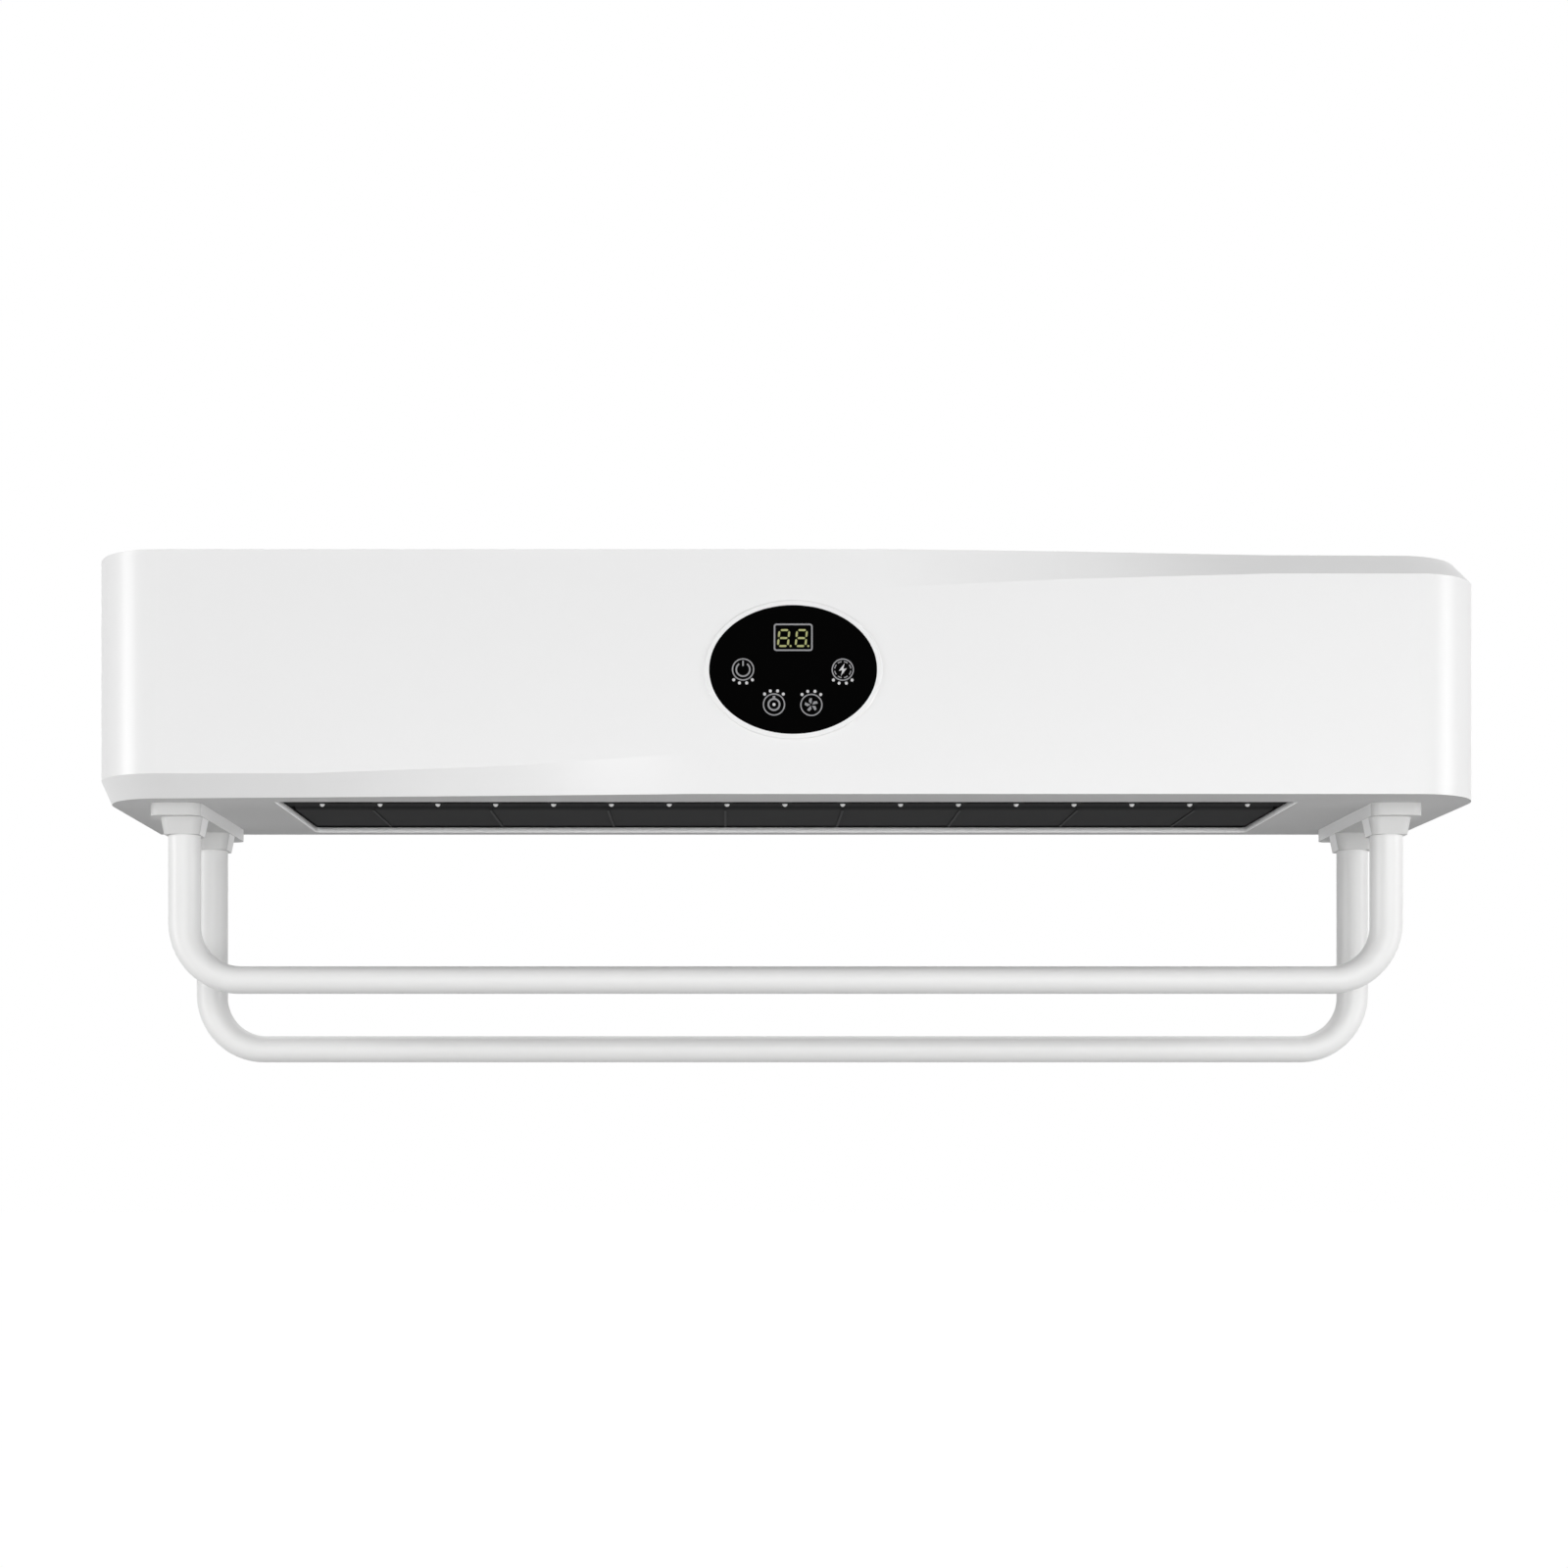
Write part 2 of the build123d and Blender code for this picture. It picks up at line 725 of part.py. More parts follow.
# Cross-flow fan wheel on its shaft
with BuildPart() as fan_wheel:
    disc_pitch = (fan_length - disc_thick) / (disc_count - 1)
    for number in range(disc_count):
        disc_x = -fan_length / 2 + number * disc_pitch
        with BuildSketch(Plane.YZ.offset(disc_x)):
            with Locations((fan_y, fan_z)):
                Circle(fan_radius)
        extrude(amount=disc_thick)
    with BuildSketch(Plane.YZ.offset(-fan_length / 2)):
        with Locations((fan_y, fan_z)):
            with PolarLocations(fan_radius - blade_chord / 2 - blade_thick, blade_count):
                Rectangle(blade_chord, blade_thick, rotation=blade_angle)
    extrude(amount=fan_length)
    for side in (-1, 1):
        with BuildSketch(Plane.YZ.offset(side * fan_length / 2)):
            with Locations((fan_y, fan_z)):
                Circle(hub_radius)
        extrude(amount=side * fan_clearance)
    with BuildSketch(Plane.YZ.offset(-fan_length / 2 - fan_clearance)):
        with Locations((fan_y, fan_z)):
            Circle(shaft_radius + bore_gap)
    extrude(amount=fan_length + 2 * fan_clearance, mode=Mode.SUBTRACT)
save(fan_wheel, "fan_wheel")

bearing_x = scroll_half + scroll_wall
with BuildPart() as fan_shaft:
    with BuildSketch(Plane.YZ.offset(-bearing_x - bearing_length)):
        with Locations((fan_y, fan_z)):
            Circle(shaft_radius)
    extrude(amount=2 * bearing_x + bearing_length + motor_length / 2)
save(fan_shaft, "fan_shaft")

with BuildPart() as fan_bearing:
    with BuildSketch(Plane.YZ.offset(-bearing_x)):
        with Locations((fan_y, fan_z)):
            Circle(bearing_radius)
            Circle(shaft_radius + bore_gap, mode=Mode.SUBTRACT)
    extrude(amount=-bearing_length)
    with BuildSketch(Plane.YZ.offset(-bearing_x)):
        with Locations((fan_y, fan_z)):
            Circle(bearing_radius + bearing_length)
            Circle(bearing_radius, mode=Mode.SUBTRACT)
    extrude(amount=-scroll_wall)
save(fan_bearing, "fan_bearing")

with BuildPart() as fan_motor:
    with BuildSketch(Plane.YZ.offset(bearing_x)):
        with Locations((fan_y, fan_z)):
            RectangleRounded(2 * channel_half, 2 * motor_radius, bearing_radius)
    extrude(amount=scroll_wall)
    with BuildSketch(Plane.YZ.offset(bearing_x)):
        with Locations((fan_y, fan_z)):
            Circle(motor_radius)
    extrude(amount=motor_length)
    fillet(fan_motor.faces().sort_by(Axis.X)[-1].edges(), scroll_wall)
    with BuildSketch(Plane.YZ.offset(bearing_x)):
        with Locations((fan_y, fan_z)):
            Circle(shaft_radius + bore_gap)
    extrude(amount=motor_length / 2 + screw_gap, mode=Mode.SUBTRACT)
save(fan_motor, "fan_motor")

# Control board on four posts, with the parts that stand on it
with BuildPart() as control_board:
    with Locations((board_x, board_y, board_z)):
        Box(board_width, board_length, board_thick, align=(Align.CENTER, Align.CENTER, Align.MIN))
save(control_board, "control_board")

with BuildPart() as relays:
    with Locations((board_x + board_width / 4, board_y + relay_size[1], board_top_z)):
        Box(*relay_size, align=(Align.CENTER, Align.CENTER, Align.MIN))
    with Locations((board_x + board_width / 4, board_y - relay_size[1] / 4, board_top_z)):
        Box(*relay_size, align=(Align.CENTER, Align.CENTER, Align.MIN))
save(relays, "relays")

with BuildPart() as capacitor:
    with Locations((board_x - board_width / 4, board_y + relay_size[1], board_top_z)):
        Cylinder(capacitor_radius, capacitor_height, align=(Align.CENTER, Align.CENTER, Align.MIN))
    fillet(capacitor.faces().sort_by(Axis.Z)[-1].edges(), capacitor_round)
save(capacitor, "capacitor")

with BuildPart() as heat_sink:
    with Locations((board_x - board_width / 4, board_y - relay_size[1] / 2, board_top_z)):
        Box(*sink_size, align=(Align.CENTER, Align.CENTER, Align.MIN))
        with GridLocations(0, sink_size[1] / 5, 1, 5):
            Box(3 * sink_size[0], board_thick, sink_size[2], align=(Align.CENTER, Align.CENTER, Align.MIN))
save(heat_sink, "heat_sink")

terminal_y = board_y + board_length / 2 - terminal_size[1] / 2
with BuildPart() as terminal_block:
    with Locations((board_x, terminal_y, board_top_z)):
        Box(*terminal_size, align=(Align.CENTER, Align.CENTER, Align.MIN))
    with BuildSketch(Plane.XZ.offset(-terminal_y + terminal_size[1] / 2)):
        with Locations((board_x, board_top_z + terminal_size[2] / 3)):
            with GridLocations(terminal_size[0] / 3, 0, 3, 1):
                Rectangle(terminal_size[0] / 5, terminal_size[2] / 3)
    extrude(amount=-terminal_size[1] / 2, mode=Mode.SUBTRACT)
save(terminal_block, "terminal_block")

# Control panel: bezel, glass, carrier, display board and digit module
with BuildPart() as panel_bezel:
    with BuildSketch(Plane.XZ.offset(body_depth)):
        dial_ellipse(glass_width + 2 * bezel_ring, glass_height + 2 * bezel_ring)
    extrude(amount=bezel_proud)
    fillet(panel_bezel.faces().sort_by(Axis.Y)[0].edges(), bezel_round)
    with BuildSketch(Plane.XZ.offset(body_depth)):
        dial_ellipse(glass_width + 2 * bezel_step - 2 * seat_gap, glass_height + 2 * bezel_step - 2 * seat_gap)
    extrude(amount=-wall)
    with BuildSketch(Plane.XZ.offset(body_depth + bezel_proud)):
        dial_ellipse(glass_width, glass_height)
    extrude(amount=-wall - bezel_proud, mode=Mode.SUBTRACT)
save(panel_bezel, "panel_bezel")

with BuildPart() as panel_glass:
    with BuildSketch(Plane.XZ.offset(body_depth + glass_proud)):
        dial_ellipse(glass_width - 2 * bore_gap, glass_height - 2 * bore_gap)
    extrude(amount=-wall - glass_proud)
save(panel_glass, "panel_glass")

carrier_y = front_y + wall
with BuildPart() as panel_carrier:
    with BuildSketch(Plane.XZ.offset(-carrier_y)):
        dial_ellipse(glass_width + 2 * carrier_ring, glass_height + 2 * carrier_ring)
    extrude(amount=-carrier_depth)
    with BuildSketch(Plane.XZ.offset(-carrier_y)):
        dial_ellipse(glass_width - 2 * carrier_ring, glass_height - 2 * carrier_ring)
    extrude(amount=-carrier_depth + board_thick, mode=Mode.SUBTRACT)
save(panel_carrier, "panel_carrier")

board_face_y = carrier_y + carrier_depth - board_thick
with BuildPart() as display_board:
    with BuildSketch(Plane.XZ.offset(-board_face_y)):
        dial_ellipse(glass_width - 2 * carrier_ring - 2 * seat_gap, glass_height - 2 * carrier_ring - 2 * seat_gap)
    extrude(amount=board_thick)
save(display_board, "display_board")

with BuildPart() as digit_display:
    with BuildSketch(Plane.XZ.offset(-carrier_y)):
        with Locations((digit_x, digit_z)):
            Rectangle(digit_width, digit_height)
    extrude(amount=-(carrier_depth - 2 * board_thick))
save(digit_display, "digit_display")

# Leads from the board to the heater, the fan motor and the display
with BuildPart() as heater_leads:
    for row in (-1, 1):
        y = fan_y + row * lead_pitch
        start = board_x + board_width / 2
        end = -heater_half - heater_end
        with BuildLine() as route:
            FilletPolyline(
                (start, y, board_z + board_thick / 2),
                (start + lead_bend, y, board_z + board_thick / 2),
                (start + lead_bend, y, lead_z),
                (end, y, lead_z),
                radius=lead_bend / 3,
            )
        with BuildSketch(Plane(route.line @ 0, z_dir=route.line % 0)):
            Circle(lead_radius)
        sweep(path=route.line)
save(heater_leads, "heater_leads")

# Bar brackets: a plate with two tapered collars, bored from below for the legs
for side, name in ((-1, "bar_bracket_left"), (1, "bar_bracket_right")):
    middle_x = side * leg_half
    with BuildPart() as bracket:
        with BuildSketch(Plane.XY.offset(bottom_z)):
            with Locations((middle_x + side * bracket_shift, front_y + bracket_front)):
                RectangleRounded(
                    bracket_width, bracket_length, bracket_corner, align=(Align.CENTER, Align.MIN)
                )
        extrude(amount=-bracket_thick)
        with BuildSketch(Plane.XY.offset(bottom_z - bracket_thick)):
            with Locations(*[(middle_x, y) for y, drop in bar_places]):
                RectangleRounded(collar_top, collar_top, collar_corner)
        extrude(amount=-collar_height, taper=collar_draft)
        with BuildSketch(Plane.XY.offset(leg_top_z)):
            with Locations(*[(middle_x, y) for y, drop in bar_places]):
                Circle(leg_radius + bore_gap)
        extrude(amount=-socket_depth - collar_height, mode=Mode.SUBTRACT)
        with BuildSketch(Plane.XY.offset(bottom_z)):
            with Locations(*[(middle_x, y) for y, drop in bar_places]):
                Circle(bar_screw_radius + screw_gap)
        extrude(amount=-bracket_thick, mode=Mode.SUBTRACT)
    save(bracket, name)


def bar_solid(y, drop, skin):
    """U-shaped bar, drawn in by skin all round: round legs that flatten through the bends into the run."""
    run_z = bottom_z - drop
    low_z = run_z + bend_radius
    reach = leg_half - bend_radius
    with BuildPart() as bar:
        for side in (-1, 1):
            with BuildLine(Plane.XZ.offset(-y), mode=Mode.PRIVATE) as bend:
                JernArc((side * leg_half, low_z), (0, -1), bend_radius, -90 * side)
            with BuildSketch(Plane((side * leg_half, y, low_z), x_dir=(0, 1, 0), z_dir=(0, 0, -1))):
                Circle(leg_radius - skin)
            with BuildSketch(Plane((side * reach, y, run_z), x_dir=(0, 1, 0), z_dir=(-side, 0, 0))):
                Ellipse(leg_radius - skin, run_half_height - skin)
            sweep(path=bend.line, multisection=True)
            with BuildSketch(Plane((side * leg_half, y, leg_top_z), x_dir=(0, 1, 0), z_dir=(0, 0, -1))):
                Circle(leg_radius - skin)
            extrude(amount=leg_top_z - low_z)
        with BuildSketch(Plane((-reach, y, run_z), x_dir=(0, 1, 0), z_dir=(1, 0, 0))):
            Ellipse(leg_radius - skin, run_half_height - skin)
        extrude(amount=2 * reach)
    return bar.part


# Towel bars: bent tubes, plugged at the top of each leg for the bar screws
for (y, drop), name in zip(bar_places, ("towel_bar_front", "towel_bar_rear")):
    skin_part = bar_solid(y, drop, 0)
    bore_part = bar_solid(y, drop, tube_wall)
    with BuildPart() as towel_bar:
        add(skin_part)
        add(bore_part, mode=Mode.SUBTRACT)
    save(towel_bar, name)

with BuildPart() as bar_plugs:
    with BuildSketch(Plane.XY.offset(leg_top_z)):
        with Locations(*leg_spots):
            Circle(leg_radius - tube_wall - bore_gap)
            Circle(bar_screw_radius + bore_gap, mode=Mode.SUBTRACT)
    extrude(amount=-plug_length)
save(bar_plugs, "bar_plugs")

with BuildPart() as bar_screws:
    with BuildSketch(Plane.XY.offset(flange_z)):
        with Locations(*leg_spots):
            Circle(bar_screw_radius)
    extrude(amount=leg_top_z - plug_length + bar_screw_radius - flange_z)
    with BuildSketch(Plane.XY.offset(flange_z)):
        with Locations(*leg_spots):
            Circle(bar_screw_head)
    extrude(amount=bar_screw_radius)
save(bar_screws, "bar_screws")
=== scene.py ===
import json
from math import cos, pi, radians, sin

import bmesh
import bpy
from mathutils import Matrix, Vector


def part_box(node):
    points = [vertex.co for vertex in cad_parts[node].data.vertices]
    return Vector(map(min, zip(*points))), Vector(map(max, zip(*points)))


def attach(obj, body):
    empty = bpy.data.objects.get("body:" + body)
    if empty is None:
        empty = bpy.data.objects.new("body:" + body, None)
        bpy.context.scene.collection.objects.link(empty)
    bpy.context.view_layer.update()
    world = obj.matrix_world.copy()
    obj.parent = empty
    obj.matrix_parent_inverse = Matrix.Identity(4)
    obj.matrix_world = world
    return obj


MM = 0.001

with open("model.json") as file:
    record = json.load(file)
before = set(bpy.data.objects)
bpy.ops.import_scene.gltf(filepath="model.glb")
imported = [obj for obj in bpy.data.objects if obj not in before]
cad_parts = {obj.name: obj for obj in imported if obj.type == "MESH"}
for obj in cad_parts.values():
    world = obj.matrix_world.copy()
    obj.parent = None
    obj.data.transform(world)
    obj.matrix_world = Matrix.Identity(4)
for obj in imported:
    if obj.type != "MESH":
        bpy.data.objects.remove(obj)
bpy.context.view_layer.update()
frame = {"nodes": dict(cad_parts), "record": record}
scene = bpy.context.scene
scene.view_settings.view_transform = "Standard"


# Camera, as the photograph was taken: level, a little below the housing, with a shifted picture
FRONT_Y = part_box("front_cover")[0].y
UNDER_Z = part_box("front_cover")[0].z
CAMERA_DISTANCE = 1.030
CAMERA_DROP = 0.1574
CAMERA_X = -0.0291
SENSOR_MM = 36
LENS_MM = 50.8
SHIFT_X = 0.0375
SHIFT_Y = 0.222


def add_camera():
    """Level camera in front of the housing."""
    data = bpy.data.cameras.new("camera")
    data.lens = LENS_MM
    data.sensor_width = SENSOR_MM
    data.shift_x = SHIFT_X
    data.shift_y = SHIFT_Y
    camera = bpy.data.objects.new("camera", data)
    camera.location = (CAMERA_X, FRONT_Y - CAMERA_DISTANCE, UNDER_Z - CAMERA_DROP)
    camera.rotation_euler = (radians(90), 0, 0)
    scene.collection.objects.link(camera)
    scene.camera = camera


# Light: a large soft key in front, one lamp at each side, one behind and above, and the world.
# Each lamp has its place, the point it looks at, its width and height in metres, and its watts.
WORLD_LEVEL = 0.19
LAMPS = {
    "key": ((0.5, -2.6, -0.28), (0.05, 0, -0.05), (2.4, 1.3), 35),
    "side_right": ((1.75, -0.85, 0.0), (0.2, -0.07, -0.02), (0.6, 1.2), 12),
    "side_left": ((-1.75, -0.85, 0.0), (-0.2, -0.07, -0.02), (0.6, 1.2), 15),
    "behind": ((0.0, 1.7, 1.9), (0, -0.05, 0), (2.6, 1.4), 20),
}


def add_area(name, place, aim, size, power):
    """Rectangular soft light that looks from place to aim."""
    data = bpy.data.lights.new(name, "AREA")
    data.shape = "RECTANGLE"
    data.size = size[0]
    data.size_y = size[1]
    data.energy = power
    lamp = bpy.data.objects.new(name, data)
    lamp.location = place
    lamp.rotation_euler = (Vector(aim) - Vector(place)).to_track_quat("-Z", "Y").to_euler()
    scene.collection.objects.link(lamp)


def seen_rays(nodes, links):
    """Socket that is 1 for camera, glossy and transmission rays, and 0 for light that falls on things."""
    path = nodes.new("ShaderNodeLightPath")
    total = path.outputs["Is Camera Ray"]
    for ray in ("Is Glossy Ray", "Is Transmission Ray"):
        add = nodes.new("ShaderNodeMath")
        add.operation = "MAXIMUM"
        links.new(total, add.inputs[0])
        links.new(path.outputs[ray], add.inputs[1])
        total = add.outputs[0]
    return total


def add_world(level):
    """Pale world light that the camera sees as plain white."""
    world = bpy.data.worlds.new("studio")
    scene.world = world
    world.use_nodes = True
    nodes, links = world.node_tree.nodes, world.node_tree.links
    nodes.clear()
    light = nodes.new("ShaderNodeBackground")
    light.inputs["Color"].default_value = (1, 1, 1, 1)
    light.inputs["Strength"].default_value = level
    seen = nodes.new("ShaderNodeBackground")
    seen.inputs["Color"].default_value = (1, 1, 1, 1)
    seen.inputs["Strength"].default_value = 1
    pick = nodes.new("ShaderNodeMixShader")
    out = nodes.new("ShaderNodeOutputWorld")
    links.new(seen_rays(nodes, links), pick.inputs["Fac"])
    links.new(light.outputs[0], pick.inputs[1])
    links.new(seen.outputs[0], pick.inputs[2])
    links.new(pick.outputs[0], out.inputs["Surface"])


FLOOR_Z = -1.35
FLOOR_REACH = 30
FLOOR_GREY = 0.55
FLOOR_GLOW = 1.23
FLOOR_GLOW_SHARE = 0.8


def add_floor():
    """Plain white floor well below, mostly its own white to the camera, with a share that takes shadow."""
    mesh = bpy.data.meshes.new("floor")
    corners = [(x * FLOOR_REACH, y * FLOOR_REACH, FLOOR_Z) for x, y in ((-1, -1), (1, -1), (1, 1), (-1, 1))]
    mesh.from_pydata(corners, [], [(0, 1, 2, 3)])
    floor = bpy.data.objects.new("floor", mesh)
    scene.collection.objects.link(floor)
    material = bpy.data.materials.new("floor_white")
    material.use_nodes = True
    nodes, links = material.node_tree.nodes, material.node_tree.links
    nodes.clear()
    matte = nodes.new("ShaderNodeBsdfDiffuse")
    matte.inputs["Color"].default_value = (FLOOR_GREY, FLOOR_GREY, FLOOR_GREY, 1)
    glow = nodes.new("ShaderNodeEmission")
    glow.inputs["Color"].default_value = (1, 1, 1, 1)
    glow.inputs["Strength"].default_value = FLOOR_GLOW
    share = nodes.new("ShaderNodeMath")
    share.operation = "MULTIPLY"
    share.inputs[1].default_value = FLOOR_GLOW_SHARE
    pick = nodes.new("ShaderNodeMixShader")
    out = nodes.new("ShaderNodeOutputMaterial")
    links.new(seen_rays(nodes, links), share.inputs[0])
    links.new(share.outputs[0], pick.inputs["Fac"])
    links.new(matte.outputs[0], pick.inputs[1])
    links.new(glow.outputs[0], pick.inputs[2])
    links.new(pick.outputs[0], out.inputs["Surface"])
    mesh.materials.append(material)


# Materials: one recipe, tuned for each finish
BROAD_RATIO = 60
ROUGH_SPREAD = 0.15
RELIEF_DEPTH = 0.3 * MM


def finish(name, colour, rough, grain, bump, mottle, metal=0.0, stretch=(1, 1, 1), glow=0.0, specular=0.5):
    """Principled material whose colour, roughness and fine relief come from object-space noise.

    grain is the scale of the fine noise, bump the strength of its relief, and mottle the part by which the
    colour varies up and down over the broad noise.
    """
    material = bpy.data.materials.new(name)
    material.use_nodes = True
    nodes, links = material.node_tree.nodes, material.node_tree.links
    shader = nodes["Principled BSDF"]
    shader.inputs["Metallic"].default_value = metal
    shader.inputs["Specular IOR Level"].default_value = specular
    place = nodes.new("ShaderNodeTexCoord")
    scale = nodes.new("ShaderNodeMapping")
    scale.inputs["Scale"].default_value = stretch
    links.new(place.outputs["Object"], scale.inputs["Vector"])
    broad = nodes.new("ShaderNodeTexNoise")
    broad.inputs["Scale"].default_value = grain / BROAD_RATIO
    broad.inputs["Detail"].default_value = 3
    fine = nodes.new("ShaderNodeTexNoise")
    fine.inputs["Scale"].default_value = grain
    fine.inputs["Detail"].default_value = 4
    for noise in (broad, fine):
        links.new(scale.outputs["Vector"], noise.inputs["Vector"])
    tint = nodes.new("ShaderNodeMix")
    tint.data_type = "RGBA"
    tint.inputs["A"].default_value = (*[c * (1 - mottle) for c in colour], 1)
    tint.inputs["B"].default_value = (*[min(1, c * (1 + mottle)) for c in colour], 1)
    links.new(broad.outputs["Fac"], tint.inputs["Factor"])
    links.new(tint.outputs["Result"], shader.inputs["Base Color"])
    gloss = nodes.new("ShaderNodeMapRange")
    gloss.inputs["To Min"].default_value = rough * (1 - ROUGH_SPREAD)
    gloss.inputs["To Max"].default_value = rough * (1 + ROUGH_SPREAD)
    links.new(fine.outputs["Fac"], gloss.inputs["Value"])
    links.new(gloss.outputs["Result"], shader.inputs["Roughness"])
    relief = nodes.new("ShaderNodeBump")
    relief.inputs["Strength"].default_value = bump
    relief.inputs["Distance"].default_value = RELIEF_DEPTH
    links.new(fine.outputs["Fac"], relief.inputs["Height"])
    links.new(relief.outputs["Normal"], shader.inputs["Normal"])
    if glow:
        shader.inputs["Emission Color"].default_value = (*colour, 1)
        shader.inputs["Emission Strength"].default_value = glow
    return material


# Each slot's finish: colour, roughness, grain, bump and mottle, in that order
FINISHES = {
    "housing_white": finish("housing_white", (0.85, 0.85, 0.85), 0.34, 700, 0.015, 0.006),
    # Darker copy of the housing's white: painted shade on the faces that look down
    "underside_white": finish("underside_white", (0.70, 0.70, 0.70), 0.6, 1800, 0.05, 0.01, specular=0.08),
    "outlet_black": finish("outlet_black", (0.012, 0.012, 0.013), 0.7, 2500, 0.1, 0.15, specular=0.02),
    "flap_grey": finish("flap_grey", (0.029, 0.029, 0.030), 0.7, 2200, 0.08, 0.08, specular=0.02),
    "pin_white": finish("pin_white", (0.85, 0.85, 0.85), 0.3, 900, 0.02, 0.02),
    "inner_plastic": finish("inner_plastic", (0.035, 0.035, 0.038), 0.6, 1500, 0.1, 0.1),
    "fan_plastic": finish("fan_plastic", (0.08, 0.085, 0.09), 0.45, 1200, 0.05, 0.08),
    "board_green": finish("board_green", (0.012, 0.09, 0.03), 0.35, 1200, 0.1, 0.25),
    "component": finish("component", (0.02, 0.02, 0.022), 0.4, 1500, 0.05, 0.1),
    "zinc": finish("zinc", (0.56, 0.57, 0.58), 0.38, 500, 0.06, 0.18, metal=1),
    "steel": finish("steel", (0.55, 0.55, 0.56), 0.28, 1500, 0.05, 0.06, metal=1),
    "aluminium": finish("aluminium", (0.8, 0.8, 0.82), 0.3, 1200, 0.08, 0.05, metal=1, stretch=(1, 1, 8)),
    "ceramic": finish("ceramic", (0.62, 0.58, 0.5), 0.7, 1500, 0.15, 0.1),
    "rubber": finish("rubber", (0.018, 0.018, 0.018), 0.75, 1400, 0.15, 0.15),
    "panel_black": finish("panel_black", (0.001, 0.001, 0.001), 0.06, 300, 0.004, 0.2, specular=0.008),
    "digits": finish("digits", (0.02, 0.02, 0.014), 0.4, 1500, 0.05, 0.1),
    "bar_white": finish("bar_white", (0.85, 0.85, 0.845), 0.34, 1100, 0.05, 0.012, specular=0.3),
    "lead": finish("lead", (0.35, 0.015, 0.012), 0.55, 1500, 0.05, 0.1),
}

# Finishes that take the place of a slot's own on single pieces or faces
# Darker copy of the housing's white for the brackets: painted shade
SHADED_BRACKET_WHITE = finish("bracket_white_painted_shade", (0.66, 0.66, 0.655), 0.5, 1400, 0.06, 0.015, specular=0.15)
# Brighter copy of the housing's white: painted light on the outlet rim and on the brackets' side faces
PAINTED_LIGHT_WHITE = finish("white_painted_light", (0.95, 0.95, 0.95), 0.4, 900, 0.02, 0.01)
# Lighter copy of the flap's grey: painted highlights on the ribs
RIB_PAINTED_HIGHLIGHT = finish("rib_painted_highlight", (0.065, 0.065, 0.066), 0.7, 2200, 0.08, 0.08, specular=0.02)
PRINT_WHITE = finish("print_white", (0.55, 0.55, 0.56), 0.5, 2500, 0.02, 0.08)
PRINT_GREY = finish("print_grey", (0.24, 0.24, 0.25), 0.5, 2500, 0.02, 0.08)
DIGIT_GREEN = finish("digit_green", (0.30, 0.31, 0.12), 0.5, 2500, 0.02, 0.1, glow=0.12)


STRAIGHT = 0.98
UNDERSIDE_SHADE_REACH = 1 * MM
RIB_PITCH = 58 * MM
RIB_HALF = 0.65 * MM
RIB_DEPTH = 0.1 * MM


def repaint(node, material, chosen):
    """Give the faces of a CAD node that chosen(centre, normal) picks a second finish."""
    mesh = frame["nodes"][node].data
    mesh.materials.append(material)
    for face in mesh.polygons:
        if chosen(face.center, face.normal):
            face.material_index = 1


def on_rib(x):
    """True within the width of one of the flap's ribs, which stand half a pitch from the middle."""
    return abs((x / RIB_PITCH) % 1 - 0.5) * RIB_PITCH < RIB_HALF


def paint_nodes():
    """Give each CAD node the finish of its slot, and a few groups of faces a finish of their own: painted
    shade on the brackets and on the cover's downward faces, painted light on the brackets' side faces, and
    painted highlights on the flap's ribs.
    """
    for part in frame["record"]["subparts"]:
        obj = frame["nodes"][part["node"]]
        obj.data.materials.clear()
        obj.data.materials.append(FINISHES[part["material_slot"]])
    # The brackets take a darker white as painted shade, and their faces that look left or right a brighter
    # white as painted light
    for node in ("bar_bracket_left", "bar_bracket_right"):
        frame["nodes"][node].data.materials[0] = SHADED_BRACKET_WHITE
        repaint(node, PAINTED_LIGHT_WHITE, lambda centre, normal: abs(normal.x) > STRAIGHT)
    # The cover's faces that look down, next to the underside, take the darker underside white: painted
    # shade
    underside_shade_top = UNDER_Z + UNDERSIDE_SHADE_REACH
    repaint(
        "front_cover", FINISHES["underside_white"],
        lambda centre, normal: normal.z < -STRAIGHT and centre.z < underside_shade_top,
    )
    # The flap's rib faces take a lighter grey: painted highlights
    rib_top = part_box("outlet_flap")[0].z + RIB_DEPTH
    repaint("outlet_flap", RIB_PAINTED_HIGHLIGHT, lambda centre, normal: on_rib(centre.x) and centre.z < rib_top)


COVER_EDGE = 1 * MM
COVER_EDGE_ANGLE = 35


def soften(node, width, angle, segments=3):
    """Round the edges of a CAD node that turn by more than an angle in degrees."""
    obj = frame["nodes"][node]
    bevel = obj.modifiers.new("soften", "BEVEL")
    bevel.width = width
    bevel.segments = segments
    bevel.limit_method = "ANGLE"
    bevel.angle_limit = radians(angle)
    bevel.harden_normals = True


# Printed panel: rings, symbols and the display window, drawn as thin flat pieces on the glass
PRINT_LIFT = 0.03 * MM
PRINT_THICK = 0.05 * MM
glass_low, glass_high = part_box("panel_glass")
GLASS_Y = glass_low.y
DIAL = Vector(((glass_low.x + glass_high.x) / 2, 0, (glass_low.z + glass_high.z) / 2))

# Keys in millimetres: the place of each from the dial's middle, and the side its row of dots is on
RING_RADIUS = 4.9
RING_LINE = 0.6
LABEL_RADIUS = 6.5
LABEL_DOT = 0.72
LABEL_TURNS = (-42, -15, 15, 42)
KEYS = {
    "power": (-23.3, 0.1, -1),
    "heat": (23.1, 0.0, -1),
    "timer": (-8.9, -16.2, 1),
    "fan": (8.5, -16.4, 1),
}


